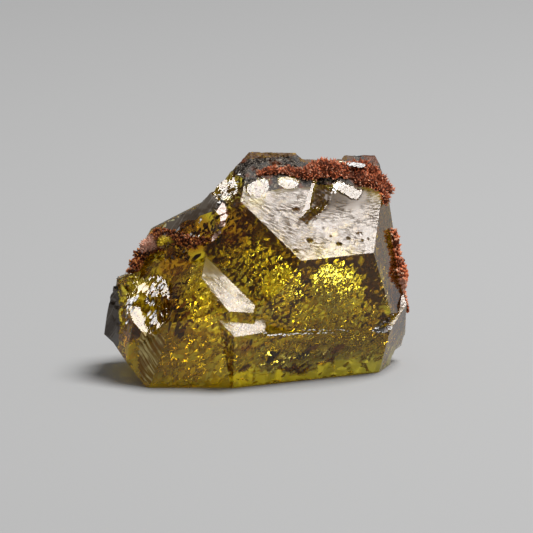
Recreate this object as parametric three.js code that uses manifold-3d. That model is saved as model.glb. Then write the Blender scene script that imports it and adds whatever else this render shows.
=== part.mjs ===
// A loose, gemmy despujolsite crystal, about 8 mm across, with rust-red iron oxide on it.
// Units are millimetres and +Z is up. The crystal rests on its flat broken base at Z = 0,
// +X is to the right and -Y is towards the viewer of its best side.

import * as THREE from 'three';
import { ConvexGeometry } from 'three/addons/geometries/ConvexGeometry.js';
import { mergeVertices } from 'three/addons/utils/BufferGeometryUtils.js';
import Module from 'manifold-3d';

const wasm = await Module();
wasm.setup();

// Driving dimensions: corners of the crystal that everything else hangs from.
const APEX = [1.22, 0.17, 3.39];          // where the terminal and both upper front faces meet
const RIGHT_APEX = [3.13, 0.94, 3.44];    // right end of the terminal's lower edge
const LEFT_APEX = [-0.38, 1.25, 4.75];    // left corner of the terminal
const TERRACE = [-0.74, -0.26, 2.13];     // front left corner of the upper terrace
const LEDGE_CORNER = [-0.53, -0.56, 1.5]; // foremost corner of the ledge
const RIGHT_CORNER = [3.59, 1.47, 1.22];  // right end of the ledge
const LOBE_CORNER = [-2.01, -0.26, 2.12]; // top of the left lobe's front
const BASE_LEFT = [-2.78, 0, 0];          // left end of the front contact edge
const BACK = 3.6;                         // how far back the crystal reaches
const LOBE_BACK = 3.1;                    // how far back the left lobe reaches
const PLATE_HEIGHT = 0.045;               // growth plates stand this proud of the terminal
const CRUST_GAP = 0.03;                   // clear space between the crust and the crystal

// A growth direction: how far a face is turned from the viewer's side, to the right, and how
// far it looks up, both in degrees.
const TERMINAL = [20.5, 49];
const SIDE_TERMINAL = [-38, 50];
const FRONT_PRISM = [22, -6.6];
const LOWER_PRISM = [25, -18];
const LEFT_PRISM = [-42, 0];
const BASE = [0, -90];

function normalOf([turn, rise]) {
  const t = THREE.MathUtils.degToRad(turn);
  const r = THREE.MathUtils.degToRad(rise);
  return new THREE.Vector3(Math.cos(r) * Math.sin(t), -Math.cos(r) * Math.cos(t), Math.sin(r));
}

// One flat face: a point on it and the direction it looks in.
function face(at, direction) {
  const normal = normalOf(direction);
  return { normal, reach: normal.dot(new THREE.Vector3(...at)) };
}

// Indexed triangles of a closed geometry, as a solid.
function solidOf(geometry) {
  const bare = geometry.clone();
  bare.deleteAttribute('normal');
  bare.deleteAttribute('uv');
  const merged = mergeVertices(bare, 1e-5);
  return new wasm.Manifold(new wasm.Mesh({
    numProp: 3,
    vertProperties: Float32Array.from(merged.attributes.position.array),
    triVerts: Uint32Array.from(merged.index.array),
  }));
}

// The point where three faces meet, or null where they don't.
function meetingPoint(a, b, c) {
  const bc = b.normal.clone().cross(c.normal);
  const volume = a.normal.dot(bc);
  if (Math.abs(volume) < 1e-4) return null;
  return bc.multiplyScalar(a.reach)
    .addScaledVector(c.normal.clone().cross(a.normal), b.reach)
    .addScaledVector(a.normal.clone().cross(b.normal), c.reach)
    .divideScalar(volume);
}

// A convex block of crystal between its faces, each moved outwards by grow.
function block(faces, grow = 0) {
  const walls = faces.map(({ normal, reach }) => ({ normal, reach: reach + grow }));
  const corners = [];
  for (let i = 0; i < walls.length; i++) {
    for (let j = i + 1; j < walls.length; j++) {
      for (let k = j + 1; k < walls.length; k++) {
        const p = meetingPoint(walls[i], walls[j], walls[k]);
        if (p && walls.every((w) => w.normal.dot(p) < w.reach + 1e-6)) corners.push(p);
      }
    }
  }
  return solidOf(new ConvexGeometry(corners));
}

// A convex chunk of crystal between hand-set corners, swelled from its middle by grow.
function chunk(points, grow = 0) {
  const corners = points.map((p) => new THREE.Vector3(...p));
  const middle = new THREE.Vector3();
  corners.forEach((p) => middle.addScaledVector(p, 1 / corners.length));
  return solidOf(new ConvexGeometry(corners.map((p) => {
    const out = p.clone().sub(middle);
    return p.clone().addScaledVector(out.normalize(), grow * 1.3);
  })));
}

const join = (solids) => solids.reduce((whole, next) => whole.add(next));

// The upper block: the terminal, the olive front face and the dark face to its left.
function upperBlock(grow) {
  return block([
    face(APEX, TERMINAL),
    face(LEFT_APEX, SIDE_TERMINAL),
    face(APEX, FRONT_PRISM),
    face(APEX, [-18.6, 20.6]),
    face([0.64, 0.05, 2.46], [8, -12]),
    face(RIGHT_APEX, [73, 11]),
    face([3.6, 1.35, 1.72], [60, -37.5]),
    face([3.97, 2.62, 1.9], [118, 4]),
    face([0.53, 2.82, 5.75], [190, 48]),
    face([-0.29, 2.57, 5.67], [-115, 34]),
    face([-2.4, 1.5, 3], [-90, 0]),
    face([0, BACK, 2], [176, -3]),
    face([0, 0, 1.15], BASE),
  ], grow);
}

// The lower block carries the ledge that runs along the foot of the olive face.
function lowerBlock(grow) {
  return block([
    face(LEDGE_CORNER, LOWER_PRISM),
    face(LEDGE_CORNER, [-46, -12]),
    face(LEDGE_CORNER, [38, 72]),
    face(RIGHT_CORNER, [71, -17]),
    face([3.97, 2.75, 1.3], [120, -16]),
    face([0, BACK - 0.1, 1], [184, -9]),
    face([-2, 1.5, 1], [-90, 0]),
    face([0, 0, 0], BASE),
  ], grow);
}

// A small step at the right end of the ledge, parallel to the terminal.
function rightStep(grow) {
  return block([
    face(RIGHT_CORNER, TERMINAL),
    face(RIGHT_CORNER, LOWER_PRISM),
    face(RIGHT_CORNER, [71, -17]),
    face([3.97, 2.62, 1.72], [100, 8]),
    face([2.95, 1.2, 1.2], [-90, 0]),
    face([0, 3.2, 1], [180, 0]),
    face([0, 0, 0.4], BASE),
  ], grow);
}

// The two terraces that step down to the left, both parallel to the terminal.
function terraces(grow) {
  const upper = block([
    face(TERRACE, TERMINAL),
    face(TERRACE, [12, -5]),
    face([-0.69, -0.21, 2.16], LEFT_PRISM),
    face(LOBE_CORNER, SIDE_TERMINAL),
    face([-0.05, -0.1, 2.1], [72, 5]),
    face([0, 1.5, 2], [180, 0]),
    face([0, 0, 1.2], BASE),
  ], grow);
  const lower = block([
    face(LEDGE_CORNER, TERMINAL),
    face(LEDGE_CORNER, LOWER_PRISM),
    face(LEDGE_CORNER, [-46, -12]),
    face([0.24, -0.2, 1.64], [75, 8]),
    face([0, 0.4, 1], [180, 0]),
    face([0, 0, 0.8], BASE),
  ], grow);
  return upper.add(lower);
}

// The amber left lobe, with its broken upper left.
function leftLobe(grow) {
  return block([
    face([-1.72, 0, 0], [0, -7]),
    face([-1.48, 0.5, 2.98], [-10, 35]),
    face(TERRACE, TERMINAL),
    face(LOBE_CORNER, SIDE_TERMINAL),
    face([-3.05, -0.13, 1.79], [-25, 40]),
    face(BASE_LEFT, [-35, 5.3]),
    face([-3.3, 0.5, 1.2], [-62, 8]),
    face([-2.91, 0.26, 0.03], [-85, -40]),
    face([-3.08, 1.32, 3.15], [-90, 30]),
    face([-3.72, 1.32, 2.2], [-92, 8]),
    face([-2.41, 1.99, 3.86], [-90, 63]),
    face([-0.66, 0, 1], [90, 0]),
    face([-2, LOBE_BACK, 2], [188, 4]),
    face([0, 0, 0], BASE),
  ], grow);
}

// A grey, glassy piece that sticks out behind the left lobe.
function leftSpur(grow) {
  return chunk([
    [-4.0, 1.5, 1.1], [-3.93, 1.45, 1.62], [-3.82, 1.3, 2.25], [-3.65, 1.2, 2.75],
    [-3.95, 2.0, 1.1], [-3.8, 2.1, 1.9], [-3.6, 1.5, 0.72], [-3.3, 1.9, 0.5],
    [-3.2, 0.9, 1.0], [-3.1, 1.1, 2.9], [-3.0, 2.5, 1.0], [-2.9, 2.4, 2.6],
  ], grow);
}

// Broken facets on the left shoulder, under the left corner of the terminal.
function cheek(grow) {
  return chunk([
    [-1.0, 1.27, 4.58], [-0.64, 1.19, 4.55], [-0.64, 1.13, 4.06], [-1.2, 1.2, 3.74],
    [-1.04, 1.1, 4.2], [-1.5, 1.5, 3.95], [-0.5, 1.6, 4.4], [-0.9, 1.9, 3.6],
    [-1.5, 2.1, 4.3], [-0.5, 1.5, 3.7],
  ], grow);
}

// A point on the terminal: right along its lower edge, up the slope and out from the face.
function onTerminal(right, up, out = 0) {
  const normal = normalOf(TERMINAL);
  const along = new THREE.Vector3(-normal.y, normal.x, 0).normalize();
  const upslope = normal.clone().cross(along);
  return new THREE.Vector3(...APEX).addScaledVector(along, right)
    .addScaledVector(upslope, up).addScaledVector(normal, out);
}

// Numbers between -1 and 1 that are the same on every run.
function wobble(n) {
  const s = Math.sin(n * 127.1 + 11.7) * 43758.5453;
  return 2 * (s - Math.floor(s)) - 1;
}

// A thin growth plate on the terminal, with a few uneven sides.
function plate(right, up, halfWidth, halfHeight, seed, grow) {
  const sides = 7;
  const corners = [];
  for (let i = 0; i < sides; i++) {
    const turn = (2 * Math.PI * (i + 0.3 * wobble(seed + i))) / sides;
    const size = 1 + 0.18 * wobble(seed * 3 + i);
    const x = right + (halfWidth * size + grow) * Math.cos(turn);
    const y = up + (halfHeight * size + grow) * Math.sin(turn);
    corners.push(onTerminal(x, y, -0.06), onTerminal(x, y, PLATE_HEIGHT + grow));
  }
  return solidOf(new ConvexGeometry(corners));
}

function plates(grow = 0) {
  return join([
    plate(-0.53, 2.45, 0.38, 0.33, 2, grow), plate(0.34, 2.52, 0.29, 0.2, 5, grow),
    plate(1.84, 2.21, 0.36, 0.23, 9, grow), plate(2.52, 2.91, 0.26, 0.14, 12, grow),
  ]);
}

// A shallow etch pit in the terminal: an upside-down six-sided pyramid.
function pit(right, up, radius) {
  const corners = [onTerminal(right, up, -0.7 * radius)];
  for (let i = 0; i < 6; i++) {
    const turn = (Math.PI / 3) * i;
    corners.push(onTerminal(right + 1.25 * radius * Math.cos(turn),
      up + 1.25 * radius * Math.sin(turn), 0.02));
  }
  return solidOf(new ConvexGeometry(corners));
}

// The dark valley of a growth step, steep on its left and gentle on its right.
function growthStep() {
  return solidOf(new ConvexGeometry([
    onTerminal(1.06, 2.62, 0.02), onTerminal(0.76, 1.71, 0.02), onTerminal(0.33, 1.35, 0.02),
    onTerminal(1.2, 2.6, -0.14), onTerminal(0.9, 1.78, -0.11), onTerminal(0.6, 1.48, -0.04),
    onTerminal(1.78, 2.55, 0.02), onTerminal(1.52, 2.0, 0.02), onTerminal(0.95, 1.38, 0.02),
  ]));
}

// A notch in the crest, between the two humps of its outline.
function crestNotch() {
  return chunk([
    [0.95, 2.5, 5.95], [2.55, 3.0, 5.95], [1.3, 2.6, 5.66], [2.3, 2.95, 5.6],
    [0.95, 3.7, 5.95], [2.55, 3.9, 5.95], [1.3, 3.6, 5.3], [2.3, 3.8, 5.25],
  ]);
}

// A shell-shaped bite of broken surface.
function bite(at, radius) {
  const shape = new THREE.IcosahedronGeometry(radius, 3);
  shape.translate(...at);
  return solidOf(shape);
}

function crystalSolid(grow = 0) {
  return join([
    upperBlock(grow), lowerBlock(grow), rightStep(grow), terraces(grow),
    leftLobe(grow), leftSpur(grow), cheek(grow), plates(grow),
  ]);
}

function finishedCrystal() {
  const cuts = join([
    growthStep(), crestNotch(),
    pit(0.35, 1.68, 0.06), pit(0.42, 0.62, 0.06), pit(1.19, 0.44, 0.05),
    pit(1.89, 0.7, 0.07), pit(-0.07, 0.34, 0.06),
    bite([-3.5, -0.6, 2.7], 1.6), bite([-3.22, 0.67, 3.81], 1.2),
    bite([-2.61, 0.25, 3.25], 0.9), bite([-3.85, 0.55, 2.4], 0.45),
    bite([-3.65, 0.05, 1.05], 0.4), bite([-0.95, 1.8, 5.65], 0.6),
    bite([-1.75, 1.2, 4.55], 0.45), bite([-1.35, 2.6, 5.3], 0.5),
  ]);
  return crystalSolid().subtract(cuts);
}

// A bumpy ball of iron oxide.
function lump(at, radius, seed) {
  const shape = new THREE.IcosahedronGeometry(radius, radius > 0.3 ? 2 : 1);
  const points = shape.attributes.position;
  const p = new THREE.Vector3();
  for (let i = 0; i < points.count; i++) {
    p.fromBufferAttribute(points, i);
    const [x, y, z] = p.toArray().map((v) => (4 * v) / radius);
    p.multiplyScalar(1 + 0.12 * (Math.sin(x + seed) + Math.sin(y + 2 * seed) + Math.sin(z - seed)));
    points.setXYZ(i, p.x + at.x, p.y + at.y, p.z + at.z);
  }
  return solidOf(shape);
}

// Lumps along a curve through stops, each stop a point and the crust's thickness there.
function crustBand(stops, seed) {
  const path = new THREE.CatmullRomCurve3(stops.map(([at]) => at));
  const lumps = [];
  let t = 0;
  while (t <= 1) {
    const here = t * (stops.length - 1);
    const i = Math.min(Math.floor(here), stops.length - 2);
    const radius = THREE.MathUtils.lerp(stops[i][1], stops[i + 1][1], here - i);
    const n = seed + lumps.length;
    lumps.push(lump(path.getPoint(t), radius * (1.05 + 0.15 * wobble(n)), n));
    t += (1.15 * radius) / path.getLength();
  }
  return join(lumps);
}

const at = (x, y, z) => new THREE.Vector3(x, y, z);

// A stop of a band on the terminal, sunk so that a broad low cap stands out of the face.
const onFace = (right, up, radius) => [onTerminal(right, up, -0.45 * radius), radius];

// The thick red-orange band across the top of the terminal.
function ridgeCrust() {
  const low = crustBand([
    onFace(-0.95, 2.72, 0.13), onFace(-0.31, 2.95, 0.14), onFace(0.34, 2.95, 0.15),
    onFace(0.8, 2.86, 0.24), onFace(1.25, 2.85, 0.3), onFace(1.7, 2.86, 0.27),
    onFace(2.14, 2.72, 0.28), onFace(2.5, 2.5, 0.3), onFace(2.8, 2.2, 0.24),
    onFace(2.92, 1.85, 0.15),
  ], 3);
  const high = crustBand([
    onFace(1.7, 2.86, 0.25), onFace(2.2, 3.0, 0.2), onFace(2.65, 2.8, 0.29),
    onFace(2.95, 2.45, 0.27), onFace(3.0, 2.1, 0.2),
  ], 60);
  return low.add(high);
}

// Rust over the left shoulder and down the lobe's left rim.
function shoulderCrust() {
  return crustBand([
    [at(-3.3, 1.25, 2.4), 0.12], [at(-3.2, 1.5, 2.85), 0.15], [at(-2.9, 2.05, 3.25), 0.24],
    [at(-2.55, 2.1, 3.45), 0.3], [at(-2.3, 1.75, 3.6), 0.28], [at(-2.0, 1.45, 3.65), 0.2],
    [at(-1.6, 1.25, 3.63), 0.15], [at(-1.2, 1.16, 3.74), 0.11],
  ], 40);
}

// Rusty knobs down the right rear edge.
function sideCrust() {
  return crustBand([
    [at(3.62, 2.65, 3.6), 0.14], [at(3.66, 2.65, 3.35), 0.19], [at(3.78, 2.65, 2.9), 0.12],
    [at(3.86, 2.6, 2.45), 0.19], [at(3.88, 2.65, 2.0), 0.14], [at(3.9, 2.7, 1.5), 0.15],
    [at(3.82, 2.75, 1.0), 0.13],
  ], 80);
}

// A low, bumpy mound of iron oxide, as wide, deep and high as half says each way.
function mound(middle, half, detail, seed) {
  const shape = new THREE.IcosahedronGeometry(1, detail);
  const points = shape.attributes.position;
  const p = new THREE.Vector3();
  for (let i = 0; i < points.count; i++) {
    p.fromBufferAttribute(points, i).multiply(half);
    const bumps = Math.sin(6.1 * p.x + seed) + Math.sin(5.3 * p.z - 2 * seed)
      + 0.7 * Math.sin(9.7 * p.x - 8.3 * p.z + 3 * seed);
    p.multiplyScalar(1 + 0.055 * bumps).add(middle);
    points.setXYZ(i, p.x, p.y, p.z);
  }
  return solidOf(shape);
}

// A rough sheet of rust that spreads over the hidden back.
function backCrust() {
  return join([
    mound(at(1.55, BACK - 0.2, 3.1), at(2.05, 0.56, 1.75), 7, 1),
    mound(at(-0.15, BACK - 0.2, 2.35), at(1.3, 0.5, 1.05), 5, 4),
    mound(at(2.6, BACK - 0.25, 1.5), at(1.25, 0.55, 0.95), 5, 8),
    mound(at(0.7, BACK - 0.3, 1.0), at(1.5, 0.5, 0.8), 5, 15),
  ]);
}

// More of the sheet, behind the left lobe.
function lobeCrust() {
  return join([
    mound(at(-1.85, LOBE_BACK - 0.15, 1.9), at(1.35, 0.5, 1.4), 6, 12),
    mound(at(-1.35, LOBE_BACK - 0.1, 0.95), at(1.3, 0.45, 0.8), 5, 17),
  ]);
}

// A crust is cut back to keep clear of the crystal, and crumbs that come loose are left out.
function fitted(crust, crystal) {
  const pieces = crust.subtract(crystal).decompose();
  return pieces.reduce((most, next) => (next.volume() > most.volume() ? next : most));
}

function meshOf(name, solid, look) {
  const { vertProperties, triVerts } = solid.getMesh();
  const geometry = new THREE.BufferGeometry();
  geometry.setAttribute('position', new THREE.BufferAttribute(vertProperties, 3));
  geometry.setIndex(new THREE.BufferAttribute(triVerts, 1));
  const mesh = new THREE.Mesh(geometry, new THREE.MeshStandardMaterial(look));
  mesh.name = name;
  return mesh;
}

const GEM = { color: 0x8f8410, roughness: 0.1, metalness: 0 };
const RUST = { color: 0x9c4a26, roughness: 0.9, metalness: 0 };

const clearance = crystalSolid(CRUST_GAP);
const specimen = new THREE.Group();
specimen.add(
  meshOf('crystal', finishedCrystal(), GEM),
  meshOf('ridge_crust', fitted(ridgeCrust(), clearance), RUST),
  meshOf('shoulder_crust', fitted(shoulderCrust(), clearance), RUST),
  meshOf('side_crust', fitted(sideCrust(), clearance), RUST),
  meshOf('back_crust', fitted(backCrust(), clearance), RUST),
  meshOf('lobe_crust', fitted(lobeCrust(), clearance), RUST),
);

// The origin goes to the middle of the underside.
const bounds = new THREE.Box3().setFromObject(specimen, true);
const middle = bounds.getCenter(new THREE.Vector3());
specimen.position.set(-middle.x, -middle.y, -bounds.min.z);

export default specimen;
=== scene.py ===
import itertools
import logging
import math
import random
from dataclasses import dataclass
from enum import Enum
from typing import Callable, Iterable, Sequence, Union

import bmesh
import bpy
import numpy as np
from mathutils import Matrix, Vector, noise
from mathutils.bvhtree import BVHTree


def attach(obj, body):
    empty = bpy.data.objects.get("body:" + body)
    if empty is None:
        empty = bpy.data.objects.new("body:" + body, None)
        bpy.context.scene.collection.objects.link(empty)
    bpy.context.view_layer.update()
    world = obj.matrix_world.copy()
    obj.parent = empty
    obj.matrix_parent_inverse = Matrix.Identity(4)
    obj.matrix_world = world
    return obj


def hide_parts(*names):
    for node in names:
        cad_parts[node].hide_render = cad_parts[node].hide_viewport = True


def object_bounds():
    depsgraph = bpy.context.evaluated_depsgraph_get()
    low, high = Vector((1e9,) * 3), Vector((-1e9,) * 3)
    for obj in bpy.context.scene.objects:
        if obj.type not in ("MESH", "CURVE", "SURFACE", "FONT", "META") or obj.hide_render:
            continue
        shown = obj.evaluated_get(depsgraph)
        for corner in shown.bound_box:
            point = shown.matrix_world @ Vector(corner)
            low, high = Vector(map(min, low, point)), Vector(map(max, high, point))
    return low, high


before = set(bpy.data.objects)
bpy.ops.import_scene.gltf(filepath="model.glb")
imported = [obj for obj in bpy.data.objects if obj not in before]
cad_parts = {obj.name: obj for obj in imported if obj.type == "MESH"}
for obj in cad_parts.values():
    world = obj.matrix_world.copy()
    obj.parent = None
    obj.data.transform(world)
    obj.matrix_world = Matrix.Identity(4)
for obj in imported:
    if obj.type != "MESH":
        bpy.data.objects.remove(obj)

MM = 1e-3
# Corners nearer than this, in metres, are one corner.
WELD = 1e-7
# A ray starts again this far past a surface that it met, in metres.
PAST = 1e-8
CAD_LOW, CAD_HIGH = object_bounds()
# The middle of the crystal's front contact edge sits here in the frame.
DATUM = Vector((CAD_LOW.x + 4.0 * MM, CAD_LOW.y + 0.56 * MM, 0.0))

Points = np.ndarray
Place = tuple[float, float, float]
Colour = tuple[float, float, float, float]
Socket = bpy.types.NodeSocket
Feed = Union[Socket, float, Sequence[float]]

log = logging.getLogger("despujolsite")


def spot(x: float, y: float, z: float) -> Vector:
    """Give the place of a point that is measured in millimetres from the datum."""
    return DATUM + Vector((x, y, z)) * MM


def looking(turn: float, rise: float) -> Vector:
    """Give the direction of a face.

    Args:
        turn: How far it is turned from the viewer to the right, in degrees.
        rise: How far it looks up, in degrees.

    Returns:
        The unit normal.
    """
    t = math.radians(turn)
    r = math.radians(rise)
    return Vector((math.cos(r) * math.sin(t), -math.cos(r) * math.cos(t), math.sin(r)))


def level_across(normal: Vector) -> Vector:
    """Give the level direction that runs to the right across a face."""
    return Vector((-normal.y, normal.x, 0.0)).normalized()


def clamp(value: float, low: float = 0.0, high: float = 1.0) -> float:
    """Keep a value between two limits."""
    return max(low, min(high, value))


def drift(rng: random.Random) -> Vector:
    """Give a random step that prefers no direction."""
    return Vector((rng.gauss(0, 1), rng.gauss(0, 1), rng.gauss(0, 1)))


def link(name: str, data: bpy.types.ID) -> bpy.types.Object:
    """Put a new object in the scene.

    Args:
        name: Its name.
        data: The mesh, lamp or camera that it shows.

    Returns:
        The object.
    """
    made = bpy.data.objects.new(name, data)
    bpy.context.scene.collection.objects.link(made)
    return made


def plain_mesh(node: str) -> bmesh.types.BMesh:
    """Take a copy of a plain piece, in the frame, with its corners joined.

    Args:
        node: The piece's name.

    Returns:
        The mesh, which the caller frees.
    """
    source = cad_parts[node]
    bm = bmesh.new()
    bm.from_mesh(source.data)
    bm.transform(source.matrix_world)
    bmesh.ops.remove_doubles(bm, verts=bm.verts, dist=WELD)
    return bm


TERMINAL = looking(20.5, 49.0)
TERMINAL_APEX = (1.22, 0.17, 3.39)
LEDGE = looking(38.0, 72.0)
# The strips of the broken left rim run down to the front along this line.
RUN_OFF = (-0.457, -0.425, -0.784)


class Slot(Enum):
    """The recolourable slots of the specimen."""

    GEM = "gem"
    RUST = "rust"


class Skin(Enum):
    """The finishes of the crystal's skin."""

    CLEAR = 0
    ETCHED = 1
    # Dark grey painted shade on glassy facets, with real striation lines.
    SHADED_GLASSY = 2
    FEATHERED = 3
    # Partly the crystal's own colour, partly painted light shining through the thin crest edge.
    CREST = 4


class Graph:
    """A node tree under construction."""

    def __init__(self, tree: bpy.types.NodeTree) -> None:
        """Empty the tree and keep it."""
        self.tree = tree
        tree.nodes.clear()

    def add(self, kind: str, **settings: object) -> bpy.types.Node:
        """Add a node.

        Args:
            kind: The node's type without the ShaderNode prefix.
            settings: Node properties by name.

        Returns:
            The new node.
        """
        prefix = "" if kind.startswith("NodeGroup") else "ShaderNode"
        node = self.tree.nodes.new(prefix + kind)
        for key, value in settings.items():
            setattr(node, key, value)
        return node

    def put(self, node: bpy.types.Node, name: str | int, value: Feed) -> None:
        """Feed an input from a socket, or set it to a constant.

        Args:
            node: The node.
            name: The input's name or number.
            value: The socket or the constant.
        """
        if isinstance(value, Socket):
            self.tree.links.new(value, node.inputs[name])
        else:
            node.inputs[name].default_value = value

    def feed(self, node: bpy.types.Node, inputs: dict[str | int, Feed]) -> bpy.types.Node:
        """Feed several inputs of a node.

        Args:
            node: The node.
            inputs: Sockets or constants by the input's name or number.

        Returns:
            The same node.
        """
        for name, value in inputs.items():
            self.put(node, name, value)
        return node

    def math(self, operation: str, *values: Feed) -> Socket:
        """Combine numbers and give the result."""
        node = self.add("Math", operation=operation)
        return self.feed(node, dict(enumerate(values))).outputs[0]

    def vector(self, operation: str, *values: Feed, out: str = "Vector") -> Socket:
        """Combine vectors and give the result."""
        node = self.add("VectorMath", operation=operation)
        return self.feed(node, dict(enumerate(values))).outputs[out]

    def noise(self, at: Feed, scale: float, detail: float = 3.0, rough: float = 0.55,
              warp: float = 0.0) -> Socket:
        """Give a fractal noise between 0 and 1.

        Args:
            at: The place.
            scale: How many lumps there are in a unit of length.
            detail: How many finer layers are added.
            rough: How strong the finer layers are.
            warp: How far the noise bends itself.

        Returns:
            The noise.
        """
        node = self.feed(self.add("TexNoise"), {"Vector": at, "Scale": scale, "Detail": detail,
                                                "Roughness": rough, "Distortion": warp})
        return node.outputs["Fac"]

    def fit(self, value: Feed, low: float, high: float, start: float = 0.0,
            end: float = 1.0) -> Socket:
        """Move a range of numbers onto another, with soft ends.

        Args:
            value: The number.
            low: Where the range starts.
            high: Where it ends.
            start: What its start becomes.
            end: What its end becomes.

        Returns:
            The number moved.
        """
        node = self.add("MapRange", interpolation_type="SMOOTHSTEP")
        self.feed(node, {"Value": value, "From Min": low, "From Max": high, "To Min": start,
                         "To Max": end})
        return node.outputs["Result"]

    def blend(self, amount: Feed, first: Feed, second: Feed) -> Socket:
        """Mix two colours and give the result."""
        node = self.add("Mix", data_type="RGBA")
        return self.feed(node, {0: amount, 6: first, 7: second}).outputs[2]

    def stretched(self, along: Feed, across: Feed, long: float, wide: float) -> Socket:
        """Give a flat place for a noise that is drawn out along one direction.

        Args:
            along: The distance along it.
            across: The distance across it.
            long: How many lumps there are in a unit of length along it.
            wide: The same across it.

        Returns:
            The place.
        """
        join = self.add("CombineXYZ")
        self.put(join, "X", self.math("MULTIPLY", along, long))
        self.put(join, "Y", self.math("MULTIPLY", across, wide))
        return join.outputs[0]

    def mask(self, name: str) -> Socket:
        """Read a number painted on the mesh."""
        return self.add("Attribute", attribute_name=name).outputs["Fac"]

    def use(self, group: bpy.types.NodeTree, **inputs: Feed) -> bpy.types.Node:
        """Add a node group and feed it."""
        return self.feed(self.add("Group", node_tree=group), inputs)

    def bump(self, height: Feed, depth: float, strength: float,
             under: Socket | None = None) -> Socket:
        """Turn a height into a normal.

        Args:
            height: The height, 0 to 1.
            depth: What a height of 1 stands for, in metres.
            strength: How much of it is used.
            under: A normal that the relief lies on.

        Returns:
            The normal.
        """
        node = self.feed(self.add("Bump"), {"Height": height, "Distance": depth, "Strength": strength})
        if under is not None:
            self.put(node, "Normal", under)
        return node.outputs["Normal"]


def new_group(name: str, inputs: Sequence[tuple[str, str]],
              outputs: Sequence[tuple[str, str]]) -> tuple[bpy.types.NodeTree, Graph,
                                                           bpy.types.Node, bpy.types.Node]:
    """Start a shader node group.

    Args:
        name: The group's name.
        inputs: Name and kind of each input, kind being Float, Vector or Color.
        outputs: The same for each output.

    Returns:
        The group, its graph, its input node and its output node.
    """
    group = bpy.data.node_groups.new(name, "ShaderNodeTree")
    graph = Graph(group)
    for label, kind in inputs:
        group.interface.new_socket(label, in_out="INPUT", socket_type="NodeSocket" + kind)
    for label, kind in outputs:
        group.interface.new_socket(label, in_out="OUTPUT", socket_type="NodeSocket" + kind)
    return group, graph, graph.add("NodeGroupInput"), graph.add("NodeGroupOutput")


class Effects:
    """The shader node groups that several finishes share, each built once.

    Counts are lumps in a millimetre, along a line and then across it where there are two.
    """

    STRIA_COUNTS = (5.0, 25.0)
    STRIA_SLANT = 0.85
    STRIA_BEND = -0.15
    BAND_COUNT = 1.3
    LINE_COUNTS = (0.9, 20.0)
    GRAIN_COUNT = 22.0
    PATCH_COUNT = 2.4

    def __init__(self) -> None:
        """Build every group."""
        self.place = self._place()
        self.striae = self._striae()
        self.scratches = self._scratches()
        self.grit = self._grit()

    @staticmethod
    def _place() -> bpy.types.NodeTree:
        """Build the group that gives the place on the object in millimetres.

        Returns:
            The group.
        """
        group, graph, _, out = new_group("place_in_mm", (), (("Vector", "Vector"),))
        coords = graph.add("TexCoord").outputs["Object"]
        graph.put(out, "Vector", graph.vector("MULTIPLY", coords, (1.0 / MM, 1.0 / MM, 1.0 / MM)))
        return group

    def _striae(self) -> bpy.types.NodeTree:
        """Build the etched wood-grain lines that run across the terminal.

        Returns:
            The group.
        """
        group, graph, data, out = new_group(
            "etched_striae", (("Vector", "Vector"),), (("Height", "Float"), ("Band", "Float")))
        at = data.outputs["Vector"]
        along = level_across(TERMINAL)
        right = graph.vector("DOT_PRODUCT", at, tuple(along), out="Value")
        up = graph.vector("DOT_PRODUCT", at, tuple(TERMINAL.cross(along)), out="Value")
        bend = graph.math("MULTIPLY", graph.math("MULTIPLY", right, right), self.STRIA_BEND)
        across = graph.math("ADD", graph.math("MULTIPLY_ADD", right, self.STRIA_SLANT, up), bend)
        across = graph.math("MULTIPLY_ADD", graph.noise(at, 1.6, 2.0), 0.15, across)
        dashes = graph.noise(graph.stretched(right, across, *self.STRIA_COUNTS), 1.0, 2.0)
        graph.put(out, "Height", graph.fit(dashes, 0.36, 0.52))
        graph.put(out, "Band", graph.noise(at, self.BAND_COUNT, 2.0))
        return group

    def _scratches(self) -> bpy.types.NodeTree:
        """Build straight fine lines that run along one direction of a face.

        Returns:
            The group.
        """
        group, graph, data, out = new_group(
            "growth_lines", (("Vector", "Vector"), ("Along", "Vector"), ("Across", "Vector")),
            (("Height", "Float"),))
        at = data.outputs["Vector"]
        along = graph.vector("DOT_PRODUCT", at, data.outputs["Along"], out="Value")
        across = graph.vector("DOT_PRODUCT", at, data.outputs["Across"], out="Value")
        across = graph.math("MULTIPLY_ADD", graph.noise(at, 0.9, 1.0), 0.2, across)
        drawn = graph.noise(graph.stretched(along, across, *self.LINE_COUNTS), 1.0, 3.0, 0.65)
        graph.put(out, "Height", drawn)
        return group

    def _grit(self) -> bpy.types.NodeTree:
        """Build a fine, uneven grain.

        Returns:
            The group.
        """
        group, graph, data, out = new_group(
            "fine_grit", (("Vector", "Vector"),), (("Height", "Float"), ("Patch", "Float")))
        at = data.outputs["Vector"]
        graph.put(out, "Height", graph.noise(at, self.GRAIN_COUNT, 3.0, 0.6))
        graph.put(out, "Patch", graph.noise(at, self.PATCH_COUNT, 3.0, 0.5))
        return group


def start_material(name: str) -> tuple[bpy.types.Material, Graph, bpy.types.Node, bpy.types.Node]:
    """Start a material.

    Args:
        name: The material's name.

    Returns:
        The material, its graph, its shader node and its output node.
    """
    material = bpy.data.materials.new(name)
    material.use_nodes = True
    graph = Graph(material.node_tree)
    shader = graph.add("BsdfPrincipled")
    output = graph.add("OutputMaterial")
    graph.put(output, "Surface", shader.outputs["BSDF"])
    return material, graph, shader, output


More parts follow.
